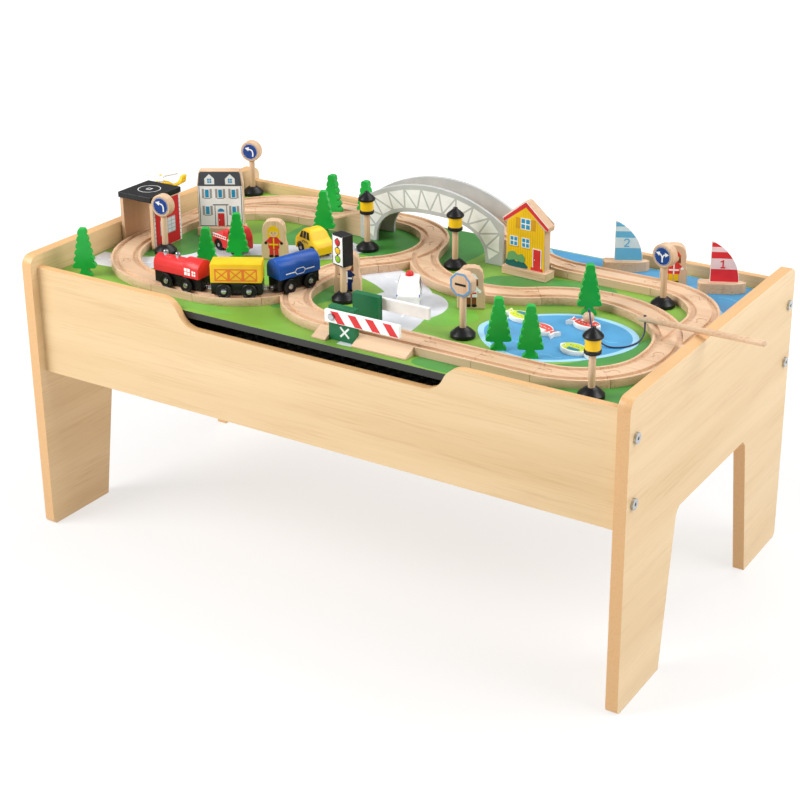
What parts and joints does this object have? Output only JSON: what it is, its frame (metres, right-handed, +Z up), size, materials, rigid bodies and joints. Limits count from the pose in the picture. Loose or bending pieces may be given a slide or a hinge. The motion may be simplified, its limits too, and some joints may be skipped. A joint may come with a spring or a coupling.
{
  "type": "toy train table",
  "caption": "Low wooden train table with a lift-off play board, grooved wooden railway, bridge, gated crossing, magnetic train, road toys and scenery.",
  "frame": {"origin": "on the floor under the middle of the table's four feet", "axes": "+X along the length to the right, -Y to the front with the level crossing, +Z up"},
  "size_m": [0.9523, 0.476, 0.4496],
  "materials": {
    "maple": "clear satin varnish",
    "board_print": "printed satin surface",
    "track_wood": "sanded clear varnish",
    "plate_black": "satin moulded",
    "steel": "zinc plated",
    "chrome_magnet": "nickel plated",
    "black_paint": "painted wood",
    "red_paint": "painted wood",
    "yellow_paint": "painted wood",
    "blue_paint": "painted wood",
    "green_paint": "painted wood",
    "white_paint": "painted wood",
    "grey_paint": "painted wood",
    "navy_cord": "braided cord"
  },
  "bodies": {
    "table": {"left_end_panel": "maple", "right_end_panel": "maple", "front_panel": "maple", "back_panel": "maple", "shelf": "maple", "board_ledgers": "maple", "building_plate": "plate_black", "panel_bolts": "steel", "barrel_nuts": "steel"},
    "board": {"play_board": "board_print", "curved_tracks": "track_wood", "straight_tracks": "track_wood", "switch_tracks": "track_wood", "ramp_tracks": "track_wood", "crossing_track": "track_wood", "bridge_sides": "grey_paint", "bridge_deck": "track_wood", "gate_blocks": "green_paint", "taxi_body": "yellow_paint", "truck_body": "red_paint", "police_body": "white_paint", "helicopter_body": "yellow_paint", "garage_walls": "red_paint", "garage_roof": "black_paint", "white_house": "white_paint", "yellow_house": "yellow_paint", "trees": "green_paint", "figures": "maple", "posts": "maple", "post_bases": "black_paint", "post_heads": "yellow_paint", "boat_hulls": "maple", "boat_sails": "blue_paint", "fish": "red_paint", "fishing_rod": "maple", "fishing_line": "navy_cord", "magnet_bead": "maple"},
    "front_gate": {"front_gate_arm": "white_paint"},
    "rear_gate": {"rear_gate_arm": "white_paint"},
    "engine": {"engine_frame": "black_paint", "engine_body": "red_paint", "engine_couplings": "chrome_magnet"},
    "wagons": {"boxcar_frame": "black_paint", "boxcar_body": "yellow_paint", "tanker_frame": "black_paint", "tanker_body": "blue_paint", "wagon_couplings": "chrome_magnet"},
    "rotor": {"helicopter_rotor": "white_paint"},
    "engine_front_wheels": {"engine_front_wheels": "black_paint"},
    "engine_rear_wheels": {"engine_rear_wheels": "black_paint"},
    "boxcar_front_wheels": {"boxcar_front_wheels": "black_paint"},
    "boxcar_rear_wheels": {"boxcar_rear_wheels": "black_paint"},
    "tanker_front_wheels": {"tanker_front_wheels": "black_paint"},
    "tanker_rear_wheels": {"tanker_rear_wheels": "black_paint"},
    "taxi_front_wheels": {"taxi_front_wheels": "black_paint"},
    "taxi_rear_wheels": {"taxi_rear_wheels": "black_paint"},
    "truck_front_wheels": {"truck_front_wheels": "black_paint"},
    "truck_rear_wheels": {"truck_rear_wheels": "black_paint"},
    "police_front_wheels": {"police_front_wheels": "black_paint"},
    "police_rear_wheels": {"police_rear_wheels": "black_paint"}
  },
  "joints": [
    {"name": "board_lift", "type": "slide", "parent": "table", "child": "board", "axis": [0, 0, 1], "range_m": [0, 0.15]},
    {"name": "front_gate_swing", "type": "hinge", "parent": "board", "child": "front_gate", "pos_m": [0.03, -0.2019, 0.38], "axis": [0, -1, 0], "range_deg": [0, 80]},
    {"name": "rear_gate_swing", "type": "hinge", "parent": "board", "child": "rear_gate", "pos_m": [0.03, -0.1381, 0.38], "axis": [0, -1, 0], "range_deg": [0, 80]},
    {"name": "wagon_roll", "type": "hinge", "parent": "board", "child": "wagons", "pos_m": [-0.19, -0.074, 0.356], "axis": [0, 0, 1], "range_deg": [-7, 7]},
    {"name": "engine_roll", "type": "slide", "parent": "board", "child": "engine", "axis": [1, 0, 0], "range_m": [-0.0118, 0.0118]},
    {"name": "engine_front_wheels_spin", "type": "hinge", "parent": "engine", "child": "engine_front_wheels", "pos_m": [-0.2345, -0.17, 0.3658], "axis": [0, 1, 0], "range_deg": [-71, 71]},
    {"name": "engine_rear_wheels_spin", "type": "hinge", "parent": "engine", "child": "engine_rear_wheels", "pos_m": [-0.2035, -0.17, 0.3658], "axis": [0, 1, 0], "range_deg": [-71, 71]},
    {"name": "boxcar_front_wheels_spin", "type": "hinge", "parent": "wagons", "child": "boxcar_front_wheels", "pos_m": [-0.15684, -0.16409, 0.3658], "axis": [-0.4924, 0.8704, 0], "range_deg": [-71, 71]},
    {"name": "boxcar_rear_wheels_spin", "type": "hinge", "parent": "wagons", "child": "boxcar_rear_wheels", "pos_m": [-0.12986, -0.14883, 0.3658], "axis": [-0.4924, 0.8704, 0], "range_deg": [-71, 71]},
    {"name": "tanker_front_wheels_spin", "type": "hinge", "parent": "wagons", "child": "tanker_front_wheels", "pos_m": [-0.10356, -0.11577, 0.3658], "axis": [-0.9588, 0.284, 0], "range_deg": [-71, 71]},
    {"name": "tanker_rear_wheels_spin", "type": "hinge", "parent": "wagons", "child": "tanker_rear_wheels", "pos_m": [-0.09476, -0.08605, 0.3658], "axis": [-0.9588, 0.284, 0], "range_deg": [-71, 71]},
    {"name": "taxi_front_wheels_spin", "type": "hinge", "parent": "board", "child": "taxi_front_wheels", "pos_m": [-0.17612, 0.03773, 0.3568], "axis": [-0.342, -0.9397, 0], "continuous": true},
    {"name": "taxi_rear_wheels_spin", "type": "hinge", "parent": "board", "child": "taxi_rear_wheels", "pos_m": [-0.14981, 0.02816, 0.3568], "axis": [-0.342, -0.9397, 0], "continuous": true},
    {"name": "truck_front_wheels_spin", "type": "hinge", "parent": "board", "child": "truck_front_wheels", "pos_m": [-0.25027, -0.01592, 0.3568], "axis": [0.2079, 0.9781, 0], "continuous": true},
    {"name": "truck_rear_wheels_spin", "type": "hinge", "parent": "board", "child": "truck_rear_wheels", "pos_m": [-0.27765, -0.0101, 0.3568], "axis": [0.2079, 0.9781, 0], "continuous": true},
    {"name": "police_front_wheels_spin", "type": "hinge", "parent": "board", "child": "police_front_wheels", "pos_m": [0.04851, -0.06831, 0.3568], "axis": [0.8829, 0.4695, 0], "continuous": true},
    {"name": "police_rear_wheels_spin", "type": "hinge", "parent": "board", "child": "police_rear_wheels", "pos_m": [0.03536, -0.04359, 0.3568], "axis": [0.8829, 0.4695, 0], "continuous": true},
    {"name": "rotor_spin", "type": "hinge", "parent": "board", "child": "rotor", "pos_m": [-0.4175, 0.027, 0.416], "axis": [0, 0, 1], "continuous": true}
  ],
  "couplings": [
    {"joint": "engine_roll", "follows": "wagon_roll", "m_per_rad": 0.096},
    {"joint": "engine_front_wheels_spin", "follows": "wagon_roll", "ratio": 10.105},
    {"joint": "engine_rear_wheels_spin", "follows": "wagon_roll", "ratio": 10.105},
    {"joint": "boxcar_front_wheels_spin", "follows": "wagon_roll", "ratio": 10.105},
    {"joint": "boxcar_rear_wheels_spin", "follows": "wagon_roll", "ratio": 10.105},
    {"joint": "tanker_front_wheels_spin", "follows": "wagon_roll", "ratio": 10.105},
    {"joint": "tanker_rear_wheels_spin", "follows": "wagon_roll", "ratio": 10.105}
  ]
}
